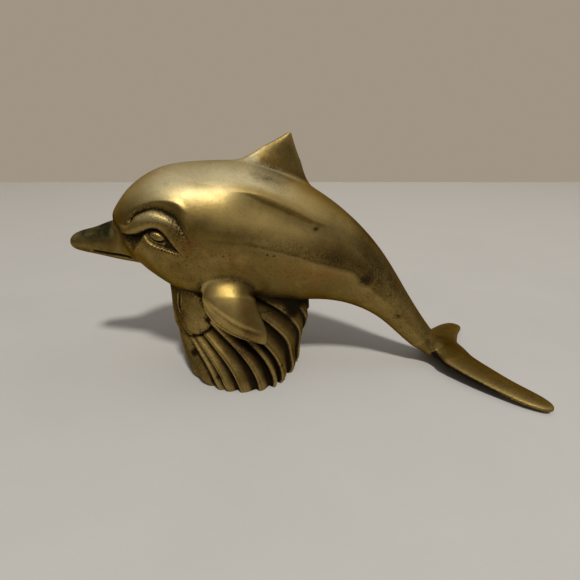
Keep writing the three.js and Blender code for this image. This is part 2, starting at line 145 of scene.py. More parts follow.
def flat_rails(stations, x_of, z_of, width):
    """Two rails in the mid-plane and the half width along them."""
    s = np.array(stations, float)
    zero = np.zeros(len(s))
    first = spline(np.stack([x_of(s[:, 0]), zero, z_of(s[:, 1])], -1))
    second = spline(np.stack([x_of(s[:, 2]), zero, z_of(s[:, 3])], -1))
    return first, second, spline(width / 2 * s[:, 4] / 100)


# Body, beak and fin stations in percent, as in the CAD source
BODY_STATIONS = [
    (0, 62.5, 0, 62.5, 0), (0.7, 67.5, 0.8, 56, 23), (3.1, 75.5, 2.9, 44.5, 44),
    (7.2, 85.5, 6.4, 32.2, 66), (15.3, 96, 12.6, 19, 86), (26, 99.5, 23, 4.5, 98),
    (37, 99.5, 34, 0, 100), (48, 92.5, 45, 0, 95), (59, 79, 55.5, 2, 81),
    (69.5, 59, 66, -0.5, 61), (78.5, 34.2, 75.5, -10, 42), (86.3, 5, 82.4, -23, 30),
    (94, -22, 89.5, -38.3, 25), (100, -38, 96.3, -49.5, 26),
]
TAIL_PLACE = 12.4
BEAK_STATIONS = [
    (-60, 108, -60, -18, 118), (0, 100, 0, -3, 100), (40, 83, 40, 8, 76),
    (75, 71, 77, 18, 58), (94, 58, 94, 28, 38), (100, 43, 100, 41, 4),
]
DORSAL_STATIONS = [
    (-6, 2, 104, -24, 108), (15, 37.5, 93, 14, 74), (34, 56.5, 87.5, 41, 48),
    (51, 73, 83, 65, 30), (66, 90, 79.5, 87, 20), (75.5, 101.5, 77.5, 101.5, 9),
]
LOBE_STATIONS = [
    (0, 0, 7.5, 103, 0, 5.6, 100), (3, 18, 6.5, 105, 18, 5.3, 92), (26, 38, 5.4, 125, 38, 4.4, 78),
    (62, 60, 4.1, 153, 60, 3.2, 64), (102, 79, 2.9, 182, 79, 2.3, 54),
    (134, 92, 2.1, 191, 92, 1.8, 40), (163, 99.5, 1.7, 180, 99.5, 1.6, 22),
]
PECTORAL_STATIONS = [
    (-57, 0, 15, 16, 0, 16, 100), (-56, 28, 20, 25, 20, 21, 92), (-45, 52, 24, 33, 41, 24, 76),
    (-23, 70, 26, 41, 59, 26, 60), (7, 83, 27, 47, 76, 27, 44), (42, 91, 27.6, 46, 90, 27.6, 12),
]
BODY_RAILS = flat_rails(BODY_STATIONS, body_x, body_z, BODY_WIDTH)
BEAK_TOP = BODY_RAILS[0](0.0)[2]
BEAK_RAILS = flat_rails(
    BEAK_STATIONS,
    lambda p: body_x(0) - BEAK_LENGTH * p / 100,
    lambda p: BEAK_TOP - BEAK_DROP + BEAK_DEPTH * p / 100,
    BEAK_WIDTH,
)
DORSAL_RAILS = flat_rails(
    DORSAL_STATIONS,
    lambda p: body_x(58.3) - DORSAL_LENGTH * (100 - p) / 100,
    lambda p: body_z(80) + DORSAL_HEIGHT * p / 100,
    DORSAL_WIDTH,
)


def trunk_skin():
    places = np.concatenate([np.linspace(0.15, 1, 14)[:-1], np.linspace(1, 13, 300)])
    return rail_loft(*BODY_RAILS, (0, 1, 0), places, 160)


def beak_skin():
    places = np.concatenate([np.linspace(0, 4, 50)[:-1], np.linspace(4, 5, 18)])
    return rail_loft(*BEAK_RAILS, (0, 1, 0), places, 90)


def dorsal_skin():
    return rail_loft(*DORSAL_RAILS, (0, 1, 0), np.linspace(0, 5, 70), 110)


def pectoral_skin(side):
    s = np.array(PECTORAL_STATIONS, float)
    mid = body_x(36.2)
    top = BELLY_HEIGHT + 16.5
    rail = lambda x, z, y: spline(
        np.stack([mid + PECTORAL_CHORD * x / 100, side * y, top - PECTORAL_LENGTH * z / 100], -1)
    )
    half = spline(PECTORAL_THICKNESS / 2 * s[:, 6] / 100)
    return rail_loft(
        rail(s[:, 0], s[:, 1], s[:, 2]), rail(s[:, 3], s[:, 4], s[:, 5]), half,
        (0, 1, 0), np.linspace(0, 5, 70), 90,
    )


def fluke_skin():
    rows = [(r, -1) for r in LOBE_STATIONS[:0:-1]] + [(r, 1) for r in LOBE_STATIONS]
    start = body_x(93.8)

    def at(x, y, z, side):
        out = side * y / 100
        back = start + FLUKE_SWEEP * x / 100 - FLUKE_SKEW * out
        return back, FLUKE_SPAN / 2 * out, z - FLUKE_ROLL * out

    first = spline([at(r[0], r[1], r[2], s) for r, s in rows])
    second = spline([at(r[3], r[4], r[5], s) for r, s in rows])
    half = spline([FLUKE_THICKNESS / 2 * r[6] / 100 for r, _ in rows])
    return rail_loft(first, second, half, (0, 0, 1), np.linspace(0, len(rows) - 1, 260), 70)


def mesh_of(name, points, faces):
    mesh = bpy.data.meshes.new(name)
    mesh.from_pydata(np.asarray(points).tolist(), [], faces)
    mesh.update()
    return mesh


def add_object(name, data):
    """New object in the scene."""
    made = bpy.data.objects.new(name, data)
    bpy.context.scene.collection.objects.link(made)
    return made


def joined(skins):
    """Several closed skins as one list of points and faces."""
    points, faces, start = [], [], 0
    for p, f in skins:
        points.append(p)
        faces += [[i + start for i in face] for face in f]
        start += len(p)
    return np.vstack(points), faces


def remeshed(name, points, faces, voxel):
    """One skin over all the closed skins, of even small faces."""
    source = add_object(name, mesh_of(name, points, faces))
    modifier = source.modifiers.new("voxels", "REMESH")
    modifier.mode = "VOXEL"
    modifier.voxel_size = voxel
    graph = bpy.context.evaluated_depsgraph_get()
    mesh = bpy.data.meshes.new_from_object(source.evaluated_get(graph))
    bpy.data.objects.remove(source)
    return mesh


def read(items, name, width=1, kind=np.float32):
    """One property of many items, as an array."""
    values = np.zeros(len(items) * width, kind)
    items.foreach_get(name, values)
    return values.reshape(-1, width) if width > 1 else values


def points_of(mesh):
    return read(mesh.vertices, "co", 3).astype(float)


def normals_of(mesh):
    mesh.update()
    return read(mesh.vertices, "normal", 3).astype(float)


def put_attribute(mesh, name, values):
    attribute = mesh.attributes.get(name) or mesh.attributes.new(name, "FLOAT", "POINT")
    attribute.data.foreach_set("value", values.astype(np.float32))


def set_points(mesh, points):
    mesh.vertices.foreach_set("co", points.astype(np.float32).ravel())
    mesh.update()


class Neighbours:
    """Averages over the neighbours of each point."""

    def __init__(self, mesh):
        ends = read(mesh.edges, "vertices", 2, np.int32)
        self.count = len(mesh.vertices)
        self.a = np.concatenate([ends[:, 0], ends[:, 1]])
        self.b = np.concatenate([ends[:, 1], ends[:, 0]])
        self.degree = np.maximum(np.bincount(self.a, minlength=self.count), 1)

    def mean(self, values):
        if values.ndim == 1:
            return np.bincount(self.a, values[self.b], self.count) / self.degree
        return np.stack([self.mean(values[:, k]) for k in range(values.shape[1])], -1)


def even_out(points, near, rounds):
    """Smooths small steps without shrinking the form."""
    for _ in range(rounds):
        for step in (0.6, -0.63):
            points = points + step * (near.mean(points) - points)
    return points


def fill_joints(points, near, mask, rounds, step=0.55):
    """Rounds the hollow edges where forms meet."""
    for _ in range(rounds):
        points = points + step * mask[:, None] * (near.mean(points) - points)
    return points


# Places of the carving are given from the middle of the eye, in millimetres
EYE = np.array([body_x(14.9), body_z(53.9)])


def line(pairs):
    """Smooth line through points in the side view, with six steps from each to the next."""
    stretches = len(pairs) - 1
    return spline(np.array(pairs, float))(np.linspace(0, stretches, 6 * stretches + 1))


def near_line(path, x, z):
    """Distance to a line, positive above one drawn from head to tail, and place along it."""
    best = np.full(len(x), 1e9)
    signed, along = np.zeros(len(x)), np.zeros(len(x))
    count = len(path) - 1
    for i in range(count):
        run = path[i + 1] - path[i]
        rx, rz = x - path[i][0], z - path[i][1]
        share = np.clip((rx * run[0] + rz * run[1]) / (run @ run), 0, 1)
        distance = np.hypot(rx - share * run[0], rz - share * run[1])
        closer = distance < best
        best = np.where(closer, distance, best)
        signed = np.where(closer, distance * np.sign(run[0] * rz - run[1] * rx), signed)
        along = np.where(closer, (i + share) / count, along)
    return signed, along


def gauss(d, width):
    """One at a distance of nothing, falling off over the width."""
    return np.exp(-((d / width) ** 2))


def spot(across, up, size):
    """Soft round spot, from the distances to its middle."""
    return gauss(np.hypot(across, up), size)


# Lines of the carving; each runs on past the part that shows, so that both its sides stay defined
BROW_GROOVE = line([
    (-19.5, 5.6), (-16, 4.2), (-12.6, 3.5), (-10.6, 3.9), (-9.1, 5.4), (-7.5, 7.4), (-5.2, 8.8),
    (-1.6, 10.1), (1, 10.4), (4.2, 9.8), (7.5, 8.3), (9.8, 6.2), (11.4, 3.3), (12.7, 0.4),
    (13.9, -1.9), (15.6, -5), (17.5, -8.5),
])
BROW_CREST = line([
    (-9.2, 7.3), (-6.8, 9.5), (-3.5, 11.1), (0.2, 12.3), (3.6, 13.2), (7, 13.2), (10, 12.3),
    (12.1, 10.4), (13.7, 7.7),
])
LID_EDGE = line([
    (-20.5, 3.2), (-18.8, 2.3), (-16.1, 1), (-14.1, 0.3), (-11.2, 0.1), (-8.1, 0.5), (-5.5, 1.1),
    (-3, 2.1), (-1.1, 2.9), (1.2, 3.2), (2.9, 2.7), (4.5, 1.3), (6.1, -0.7), (8, -3.4),
    (10.3, -6.1), (12.6, -8.2), (15.2, -10.2), (18.5, -12.4),
])
LOWER_LID = line([
    (-6.5, 1.4), (-4.8, 0.6), (-3.4, -0.8), (-2.2, -2.2), (-0.5, -3.2), (1.7, -3.9), (3.9, -4.4),
    (6, -5.1), (8.1, -5.8), (9.6, -6.6), (11.5, -8),
])
HOLLOW_BACK = line([(-2.6, 2.6), (-3.4, 0.4), (-4.6, -2.1), (-6.6, -4.2), (-8.7, -6.4), (-10.6, -9.4)])
HOLLOW_FRONT = line([(-19, 2.6), (-17.4, 0), (-15.4, -2.4), (-13.1, -4), (-11.4, -5.8), (-10.5, -8.8)])
BEAK_CREASE = line([(-19.8, 6.8), (-19, 4.2), (-17.6, 2.4), (-16.2, 0.9), (-14.4, -0.9)])
UPPER_EDGE = line([
    (24.7, 18.3), (30.2, 17.6), (36.6, 16.8), (43, 15), (47.6, 13.2), (53.2, 10.8), (58.4, 8.1),
    (63.2, 5.6), (68.2, 3.4), (73.8, 0.1),
])
LOWER_EDGE = line([
    (16.4, 0.4), (24.7, -1.2), (31.5, -2.1), (36.1, -2.7), (45.2, -4.9), (54.6, -7.7), (59.4, -9.6),
    (66.9, -12), (74.6, -14.5), (78.9, -17.1), (84, -22.2), (88.7, -26.5), (94.7, -32.1), (99.7, -37.7),
])
FLANK_BULGE = line([(9, 12.5), (18, 9.8), (29, 6.3), (44, 1.4), (57, -1.5), (70, -3.8)])
BACK_BAND = line([(76, 1.5), (79.2, -3.2), (83.5, -8.9), (89.3, -15.5), (96.6, -24.3), (105.6, -36.8)])
FIN_ROOT = line([(33, 24.4), (37, 23.2), (40.5, 22), (44.7, 20.9), (49, 20), (54, 19)])
DORSAL_ROLL = line([(31.5, 27), (36, 29.4), (40.5, 32), (45, 34.9), (49, 37.6)])
MOUTH = line([
    (-33, -8.9), (-30.4, -9.1), (-26.5, -9.6), (-22, -10.1), (-18.7, -10.5), (-15.5, -11.2),
    (-13, -12.2), (-11, -13.5),
])
EYE_LENGTH, EYE_HEIGHT, EYE_TILT = 3.2, 1.8, math.radians(18)

# Heights and depths of the carving over the plain skin
FOLD_HEIGHT, GROOVE_DEPTH, CREST_HEIGHT = 2.1, 1.1, 0.28
LID_STEP, SOCKET_DEPTH, CORNER_DEPTH = 0.9, 0.75, 0.45
EYE_BULGE, RING_DEPTH, RIM_HEIGHT = 1.2, 0.3, 0.8
BEAK_HOLLOW_DEPTH, BEAK_SEAM_DEPTH, MOUTH_DEPTH = 1.5, 0.45, 1.4
UPPER_SCOOP_DEPTH, UPPER_EDGE_HEIGHT, LOWER_SCOOP_DEPTH = 1.3, 0.2, 0.85
BACK_BAND_DEPTH, FIN_ROOT_DEPTH, DORSAL_ROLL_HEIGHT = 0.3, 0.25, 0.36
FIN_EDGE_DEPTH, CURL_DEPTH = 0.7, 0.9


def between(along, start, full, falling, end):
    """One along a stretch of a line, fading to nothing at both ends of it."""
    return ramp(along, start, full) * ramp(along, end, falling)


def brow_carving(u, v, lid, lid_along):
    """The thick fold over the eye, the groove over it and the crest of the brow."""
    groove, groove_along = near_line(BROW_GROOVE, u, v)
    crest, crest_along = near_line(BROW_CREST, u, v)
    # The fold is one smooth swell between the lid's edge and the groove
    fold = (1 - np.exp(-np.maximum(lid, 0) / 0.8)) * (1 - np.exp(-np.maximum(-groove, 0) / 1.6))
    height = FOLD_HEIGHT * fold * ramp(u, -17.5, -8.5) * ramp(lid_along, 0.88, 0.55)
    # The groove is narrow towards the fold, and a wide hollow towards the crest
    live = between(groove_along, 0.2, 0.27, 0.6, 0.84)
    wide = 1.2 + 0.9 * between(groove_along, 0.36, 0.5, 0.6, 0.84)
    shape = np.where(groove < 0, gauss(groove, 0.95), gauss(groove, wide))
    height -= GROOVE_DEPTH * live * shape
    middle = 1 - 0.35 * gauss(groove_along - 0.52, 0.1)
    dark = live * middle * np.where(groove < 0, gauss(groove, 0.75), gauss(groove, 0.9))
    dark += 0.12 * live * shape
    height += CREST_HEIGHT * between(crest_along, 0.1, 0.5, 0.8, 1) * gauss(crest, 1.1)
    return height, dark


def eye_carving(u, v, lid, lid_along):
    """The step under the lid's edge, the socket, the eye and the lower lid."""
    lower, lower_along = near_line(LOWER_LID, u, v)
    step = between(lid_along, 0.08, 0.2, 0.74, 0.86) * (lid < 0)
    height = -LID_STEP * step * np.exp(-np.maximum(-lid, 0) / 0.8)
    # Painted shadow under the edge of the lid
    dark = 1.2 * between(lid_along, 0.06, 0.14, 0.74, 0.88) * gauss(lid + 0.25, 0.5)
    socket = ramp(-lid, 0, 0.5) * ramp(lower, 0.2, 0.9)
    socket *= ramp(u, -5.6, -3.8) * ramp(u, 10.2, 8.8)
    height -= SOCKET_DEPTH * socket
    # The eye is a low dome on a tilted oval, with a dark ring round it and a dark rear corner
    eye_u, eye_v = u - 1.35, v - 0.25
    p = eye_u * math.cos(EYE_TILT) - eye_v * math.sin(EYE_TILT)
    q = eye_u * math.sin(EYE_TILT) + eye_v * math.cos(EYE_TILT)
    radius = np.hypot(p / EYE_LENGTH, q / EYE_HEIGHT)
    height += EYE_BULGE * np.sqrt(np.maximum(1 - radius**2, 0))
    ring = gauss(radius - 1.16, 0.2) * (lid < 0.2)
    height -= RING_DEPTH * ring
    dark += 0.5 * ring
    corner = socket * ramp(p, 3.1, 4.3)
    height -= CORNER_DEPTH * corner
    dark += 0.8 * corner
    # The beaded rim of the lower lid
    rim = between(lower_along, 0.16, 0.3, 0.8, 0.88) * gauss(lower, 0.6)
    rim *= 0.45 + 0.55 * ramp(lower_along, 0.3, 0.55)
    bead = 1 + 0.3 * np.sin(lower_along * 105) * ramp(lower_along, 0.25, 0.45)
    height += RIM_HEIGHT * rim * bead
    # Painted highlight on the rim of the lower lid
    dark -= 0.4 * rim
    return height, dark


def beak_root_carving(u, v, lid):
    """The hollow behind the beak, which runs into the corner of the eye, and the beak's crease."""
    back, _ = near_line(HOLLOW_BACK, u, v)
    front, _ = near_line(HOLLOW_FRONT, u, v)
    crease, along = near_line(BEAK_CREASE, u, v)
    under = np.maximum(-lid, 0)
    hollow = ramp(-lid, 0, 0.7) * ramp(-back, 0, 2.2) * ramp(front, -1.5, 1.8)
    height = -BEAK_HOLLOW_DEPTH * hollow * (0.35 + 0.65 * np.exp(-under / 3))
    # The hollow and the crease are darkened with soiling and painted shade
    dark = 1.3 * hollow * (0.55 + 0.45 * np.exp(-under / 2.4))
    seam = between(along, 0, 0.25, 0.8, 1)
    height -= BEAK_SEAM_DEPTH * seam * gauss(crease, 0.9)
    dark += 0.7 * seam * gauss(crease, 0.8)
    return height, dark


def head_carving(u, v):
    """Height of the carving over the plain head, and how dark each point is made: soiling and painted
    shade in the recesses.
    """
    lid, lid_along = near_line(LID_EDGE, u, v)
    carvings = [
        brow_carving(u, v, lid, lid_along), eye_carving(u, v, lid, lid_along),
        beak_root_carving(u, v, lid),
    ]
    return sum(c[0] for c in carvings), np.maximum(sum(c[1] for c in carvings), 0)


def mouth_carving(u, v):
    """The line of the mouth, cut in along the beak, and darkened in the cut with soiling and painted
    shade.
    """
    mouth, along = near_line(MOUTH, u, v)
    cut = between(along, 0.1, 0.2, 0.72, 0.86) * gauss(mouth, 0.62)
    return -MOUTH_DEPTH * cut, 2.2 * cut


def flank_carving(u, v):
    """Two scooped bands along the flank, the band along the back of the tail and the fin's root;
    painted shade under the upper band's ridge, soiling and painted shade along the lower band.
    """
    upper, along = near_line(UPPER_EDGE, u, v)
    live = between(along, 0.05, 0.36, 0.55, 0.98)
    upper = upper + 0.9
    scoop = np.maximum(-upper, 0) / 3.4
    edge = UPPER_EDGE_HEIGHT * gauss(upper - 0.5, 1.6)
    height = live * (edge - UPPER_SCOOP_DEPTH * scoop * np.exp(1 - scoop))
    # Painted shade in a band under the ridge of the upper scoop
    dark = 0.34 * live * gauss(upper + 3, 2.6)
    lower, along = near_line(LOWER_EDGE, u, v)
    above, below = np.maximum(lower, 0), np.minimum(lower, 0)
    sharp = 3.6 - 1.6 * ramp(along, 0.2, 0.45)
    scoop = np.where(lower > 0, np.exp(-above / 4.4), np.exp(below / sharp))
    height -= LOWER_SCOOP_DEPTH * between(along, 0, 0.3, 0.62, 1) * scoop
    grime_and_shade = np.where(lower > 0, gauss(above - 3.2, 4.4), 0.8 * np.exp(below / 0.9))
    dark += 0.42 * between(along, 0.02, 0.16, 0.62, 1) * grime_and_shade
    band, along = near_line(BACK_BAND, u, v)
    live = between(along, 0, 0.25, 0.8, 1)
    height -= BACK_BAND_DEPTH * live * gauss(band, 2.6)
    dark += 0.28 * live * gauss(band - 0.6, 3.6)
    root, along = near_line(FIN_ROOT, u, v)
    live = between(along, 0, 0.3, 0.7, 1)
    height -= FIN_ROOT_DEPTH * live * gauss(root, 1.2)
    dark += 0.35 * live * gauss(root, 1.6)
    roll, along = near_line(DORSAL_ROLL, u, v)
    live = between(along, 0, 0.3, 0.8, 1)
    height += DORSAL_ROLL_HEIGHT * live * gauss(roll, 0.6)
    dark += 0.2 * live * ramp(roll, 0.3, 2.0)
    return height, dark


# Crease of a pectoral fin over its thinner front edge, from the base's axis and the table
FIN_CREASE = line([
    (-12.6, 41), (-10.9, 38.6), (-9.5, 36.7), (-7.2, 35), (-4.3, 33.1), (-1.8, 31.4), (0.7, 30),
    (3.2, 28.9), (6.3, 27.7), (9.4, 26.5), (11.5, 25.6),
])


def fin_carving(x, z):
    """A sunk front edge along the crease of each pectoral fin."""
    crease, along = near_line(FIN_CREASE, x - AXIS_X, z)
    live = between(along, 0.02, 0.3, 0.72, 0.96)
    dark = 0.16 * live * gauss(crease + 0.5, 0.7)
    dark += 0.4 * ramp(crease, -1.4, -3.0) * ramp(z, 30, 34)
    return -FIN_EDGE_DEPTH * ramp(crease, 1.3, -0.9) * live, dark


def base_section(z):
    """Half length, half width and setback of the base at a height."""
    rise = np.clip(z / BELLY_HEIGHT, 0, 1)
    long = (FOOT_LENGTH + (SADDLE_LENGTH - FOOT_LENGTH) * (1 - (1 - rise) ** 1.8)) / 2
    wide = (FOOT_WIDTH + (SADDLE_WIDTH - FOOT_WIDTH) * rise**1.5) / 2
    return long, wide, FOOT_SETBACK * (1 - rise) ** 3


def base_outline(angle, z, depth):
    """Point of the base at an angle from its front, in degrees; angles run round both sides."""
    long, wide, setback = base_section(z)
    rounding = FOOT_ROUNDING * np.maximum(0, 1 - z / (3 * FOOT_ROUNDING)) ** 2
    a = np.radians(angle)
    x = AXIS_X + setback - (long + depth - rounding) * np.cos(a)
    y = -(wide + depth - rounding) * np.sin(a)
    return np.stack([x, y, z + 0 * a], -1)


def base_angle(points):
    """Angle from the front of the base, in degrees, as base_outline takes it."""
    long, wide, setback = base_section(points[:, 2])
    ahead = AXIS_X + setback - points[:, 0]
    return np.degrees(np.arctan2(np.abs(points[:, 1]) / wide, ahead / long))


def rib_height(share):
    """Height of a rib from 0 to 1: rounded back, hollow foot, steep face to the next crest."""
    valley = 0.86
    back = 1 - 0.2 * share / valley - 0.8 * ramp(share / valley, 0.2, 1)
    face = ((share - valley) / (1 - valley)).clip(0, 1)
    return np.where(share < valley, back, face**1.15)


# Angles of the rib crests at the foot; the ribs of the real casting aren't evenly spaced
CRESTS = (-23, -5, 13, 31, 49, 67, 75.5, 89, 107, 122, 132, 154, 177, 199, 221, 243, 265, 287)


def rib_phase(angle, z):
    """Number of the rib that a point belongs to, with the place across it as the fraction."""
    lean = RIB_LEAN * (np.clip(z, 0, None) / BELLY_HEIGHT) ** RIB_CURVE
    return np.interp(angle + lean, CRESTS, np.arange(len(CRESTS)))


def rib_strength(angle, z):
    """Share of the full rib depth, which dies out towards the upper rear."""
    rear = 1 - 0.7 * ramp(angle, 112, 150) * ramp(z / BELLY_HEIGHT, 0.1, 0.5)
    return rear * (1 - 0.5 * ramp(z, 25, 33) * ramp(angle, 90, 110))


def rib_row(angle, z):
    """How far one row of the ribbed skin stands out from the crests, and its darkening: soiling and
    painted shade in the valleys.
    """
    phase = rib_phase(angle, z)
    number = np.floor(phase)
    share = phase - number
    strength = rib_strength(angle, z)
    uneven = 1 + 0.18 * np.sin(number * 2.3 + z * 0.23) + 0.12 * np.sin(number * 5.1 - z * 0.11)
    deeper = 1 + 0.35 * ramp(z, 2, 6)
    depth = -RIB_DEPTH * (1 - rib_height(share)) * uneven * strength * deeper
    rear_foot = ramp(angle, 122, 150) * ramp(z, 27, 8)
    depth -= REAR_INSET * (1 - strength) + REAR_FOOT_INSET * rear_foot
    low = ramp(share, 0.42, 0.7) * ramp(share, 0.985, 0.93)
    grime_and_shade = (1.05 * low + 0.5 * gauss(share - 0.88, 0.07)) * (0.5 + 0.5 * strength)
    grime_and_shade *= 1 - 0.6 * ramp(z, 19, 27) * ramp(angle, 78, 92)
    # Painted shade under the belly and the pectoral fin
    grime_and_shade += 0.18 * ramp(z, 22, 31) * ramp(angle, 80, 100)
    grime_and_shade += 0.18 * ramp(angle, 72, 48) * ramp(angle, 12, 30) * ramp(z, 26, 20)
    return depth, grime_and_shade


BASE_COLUMNS = 720
FOOT_EDGE, FOOT_DRAW_IN = 1.2, 0.02


def hollow_rings(angle):
    """Rings of the hollow, from the hole in the web down to the foot."""
    under = BELLY_HEIGHT - CLEARANCE - WEB_THICKNESS
    foot = FOOT_LENGTH / 2 - FOOT_ROUNDING - FOOT_WALL
    top = SADDLE_WIDTH / 2 - RIB_DEPTH - FOOT_WALL
    profile = spline([
        (SCREW_HOLE / 2, under), (6, under), (top - 1.5, under), (top, under - 1.5),
        ((foot + top) / 2 + 1, under * 0.65), (foot - 0.4, 5), (foot, 1), (foot, 0.15),
    ])
    a = np.radians(angle)
    return [
        np.stack([AXIS_X - r * np.cos(a), -r * np.sin(a), np.full(len(a), z)], -1)
        for r, z in profile(np.linspace(0, 7, 50))
    ]


def base_skin():
    """Outer skin with the ribs, foot and hollow as one closed loft, and its darkening of soiling and
    painted shade.
    """
    angle = np.arange(BASE_COLUMNS) * 360 / BASE_COLUMNS
    mirrored = np.where(angle <= 180, angle, 360 - angle)
    side = np.where(angle <= 180, 1, -1)
    axis = np.array([AXIS_X, 0])
    rings = hollow_rings(angle)
    dark = [np.full(BASE_COLUMNS, 0.55)] * len(rings)
    edge_rows = np.linspace(0, FOOT_EDGE, 6)
    for z in [*edge_rows, *np.linspace(FOOT_EDGE, SADDLE_HEIGHT, 115)[1:]]:
        depth, grime_and_shade = rib_row(mirrored, z)
        ring = base_outline(mirrored, z, depth)
        ring[:, 1] *= side
        # The lower edge of the foot is drawn in a little
        ring[:, :2] -= (ring[:, :2] - axis) * FOOT_DRAW_IN * max(0, 1 - z / FOOT_EDGE) ** 2
        rings.append(ring)
        dark.append(grime_and_shade)
    return *loft(rings), np.concatenate([*dark, [0.5, 0.5]])


# Rows of the wave lobe: height, and the angles of its two edges from the front of the base
LOBE_ROWS = [
    (41.9, 2, 50), (36, 1, 60), (29.9, 1, 66), (25.6, 4, 64.5), (22.8, 12, 60), (20.7, 24, 47),
]
# Curl in the wave lobe, by angle and height
LOBE_CURL = line([(41, 36.6), (37.5, 35.2), (35.5, 33), (36.5, 31), (39, 29.8)])


def lobe_skin(side):
    """Wave lobe at the front of the base, under the throat."""
    at = lambda angle, z: base_outline(angle, z, -0.6) * (1, side, 1)
    first = spline([at(leading, z) for z, leading, _ in LOBE_ROWS])
    second = spline([at(trailing, z) for z, _, trailing in LOBE_ROWS])
    bulge = [LOBE_BULGE * s for s in (0.9, 0.95, 1, 0.9, 0.65, 0.25)]
    direction = base_outline(32, 0, 0) * (1, side, 1) - (AXIS_X, 0, 0)
    direction = direction / np.linalg.norm(direction)
    return rail_loft(first, second, spline(bulge), direction, np.linspace(0, 5, 110), 160)


# Cast skin of the whole dolphin
skins = {
    "trunk": trunk_skin(), "beak": beak_skin(), "dorsal": dorsal_skin(),
    "left": pectoral_skin(-1), "right": pectoral_skin(1), "fluke": fluke_skin(),
}
FINE_VOXEL = 0.45
VOXEL = FINE_VOXEL
cast = remeshed("dolphin_cast", *joined(skins.values()), VOXEL)


def distance_to(skin, points, reach):
    """Distance to a skin, or reach where it is further."""
    tree = BVHTree.FromPolygons(skin[0].tolist(), skin[1])
    low, high = skin[0].min(0) - reach, skin[0].max(0) + reach
    found = np.full(len(points), float(reach))
    for i in np.nonzero(((points > low) & (points < high)).all(1))[0]:
        hit = tree.find_nearest(points[i], reach)
        if hit[3] is not None:
            found[i] = hit[3]
    return found


points = points_of(cast)
near = Neighbours(cast)
distances = {name: distance_to(skins[name], points, 8.0) for name in skins}
label = np.array(list(skins))[np.argmin(np.stack([distances[n] for n in skins]), 0)]
to_trunk = {name: np.maximum(distances[name], distances["trunk"]) for name in skins}
joint_dark = 0.6 * gauss(np.minimum(to_trunk["left"], to_trunk["right"]), 1.6)

# Fillets where the fins, beak and fluke join the trunk, by how far each of them reaches
beak_reach = 2.2 + 3.0 * ramp(points[:, 2], EYE[1] + 1, EYE[1] - 4)
fin_reach = 3.0 + 5.0 * ramp(points[:, 2], 35, 44)
reach = {"beak": beak_reach, "dorsal": 7.0, "left": fin_reach, "right": fin_reach, "fluke": 6.0}
mask = np.max([ramp(to_trunk[n], r, 0.25 * r) for n, r in reach.items()], 0)
tail_root = ramp(to_trunk["fluke"], 7.5, 2.5)
rounds = int(70 * (FINE_VOXEL / VOXEL) ** 2)
points = fill_joints(even_out(points, near, 6), near, mask, rounds)
fin_top = mask * ramp(points[:, 2], 36, 42) * ramp(points[:, 2], 56, 52)
fin_top *= np.minimum(distances["left"], distances["right"]) < 7.9
points = fill_joints(points, near, np.maximum(fin_top, tail_root), 2 * rounds)
points = fill_joints(points, near, tail_root, rounds, 0.5)
points = even_out(points, near, 8)
set_points(cast, points)


def refine(mesh, wanted, layers):
    """Splits the faces of the wanted points in four; layers are values kept on the points."""
    bm = bmesh.new()
    for name, values in layers.items():
        put_attribute(mesh, name, values)
    bm.from_mesh(mesh)
    bm.verts.ensure_lookup_table()
    flags = wanted.tolist()
    edges = [e for e in bm.edges if flags[e.verts[0].index] and flags[e.verts[1].index]]
    bmesh.ops.subdivide_edges(bm, edges=edges, cuts=1, use_grid_fill=True)
    bm.to_mesh(mesh)
    bm.free()
    mesh.update()
    return {name: read(mesh.attributes[name].data, "value").astype(float) for name in layers}


# The head gets finer faces, and then the carving goes on
codes = {name: i for i, name in enumerate(skins)}
part = np.array([codes[n] for n in label], float)
u, v = points[:, 0] - EYE[0], points[:, 2] - EYE[1]
head = (u < 17) & (u > -42) & (v < 15) & (v > -17)
head &= (np.abs(normals_of(cast)[:, 1]) > 0.15) & (label != "left") & (label != "right")
kept = refine(cast, head, {"part": part, "joint_dark": joint_dark})
part = np.round(kept["part"])
is_beak, is_dorsal, is_fluke = (part == codes[n] for n in ("beak", "dorsal", "fluke"))
is_fin = (part == codes["left"]) | (part == codes["right"])
near = Neighbours(cast)
points = even_out(points_of(cast), near, 3)
set_points(cast, points)
normal = normals_of(cast)
side_share = np.abs(normal[:, 1])
x, z = points[:, 0], points[:, 2]
u, v = x - EYE[0], z - EYE[1]
height, dark = np.zeros(len(x)), kept["joint_dark"].copy()
# Each carving, the points it may lie on, and the side share over which its height and its darkening set
# in
for carving, chosen, rise, darken in (
    (head_carving, (np.abs(u) < 26) & (np.abs(v) < 20) & (side_share > 0.02), (0.12, 0.5), (0.02, 0.3)),
    (mouth_carving, (u < -8) & (v < 0) & (side_share > 0.05), (0, 0.05), (0, 0.05)),
    (flank_carving, (u > 8) & (side_share > 0.05), (0.2, 0.6), (0.2, 0.6)),
):
    more, more_dark = carving(u[chosen], v[chosen])
    height[chosen] += more * ramp(side_share[chosen], *rise)
    dark[chosen] += more_dark * ramp(side_share[chosen], *darken)
outward = ramp(side_share, 0.25, 0.6) * (np.sign(normal[:, 1]) == np.sign(points[:, 1]))
fin_height, fin_dark = fin_carving(x, z)
height = np.where(is_fin, fin_height * outward, height)
dark = np.where(is_fin, kept["joint_dark"] + fin_dark * outward, dark)
points = even_out(points + height[:, None] * normal, near, 1)
# The fluke is drawn in a hair, to stay inside the CAD's box
FLUKE_DRAW_IN = 0.003
points[:, 1] *= 1 - FLUKE_DRAW_IN * is_fluke
set_points(cast, points)
normal = normals_of(cast)


def hollowness(points, normal, near, rounds):
    """Positive in hollows and negative on edges, from how far the smoothed skin lies outside."""
    smooth = points
    for _ in range(rounds):
        smooth = smooth + 0.5 * (near.mean(smooth) - smooth)
    return ((smooth - points) * normal).sum(1)


fine = hollowness(points, normal, near, 6)
broad = hollowness(points, normal, near, 60)


